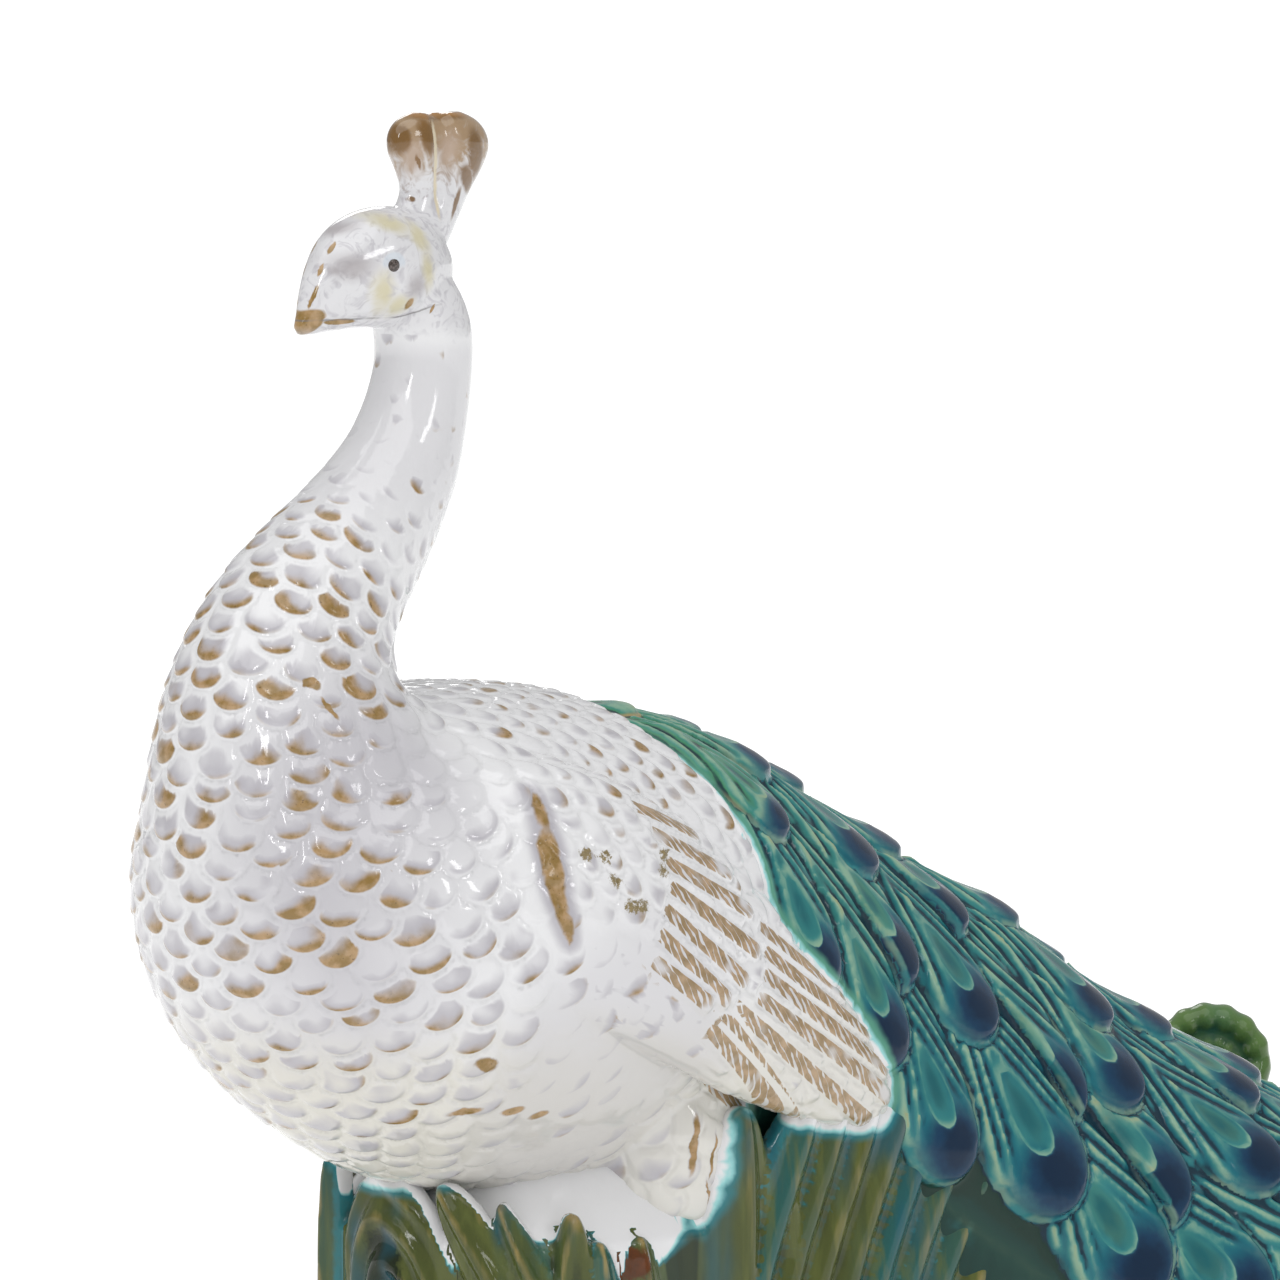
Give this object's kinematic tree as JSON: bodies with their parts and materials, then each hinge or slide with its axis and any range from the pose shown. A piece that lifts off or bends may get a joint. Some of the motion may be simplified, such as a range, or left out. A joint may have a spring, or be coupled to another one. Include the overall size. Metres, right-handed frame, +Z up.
{
  "type": "peacock figurine",
  "caption": "Glazed ceramic peacock standing on a bank of leaves, head turned level on a long curved neck, with folded wings and a trailing train.",
  "frame": {"origin": "middle of the length and width, on the plane that the underside rests on", "axes": "+X from the breast to the end of the train, +Z up, +Y to the bird's right"},
  "size_m": [0.5492, 0.2191, 0.4164],
  "materials": {
    "glazed_ceramic": "glossy"
  },
  "bodies": {
    "root": {"peacock_figurine": "glazed_ceramic"}
  },
  "joints": []
}
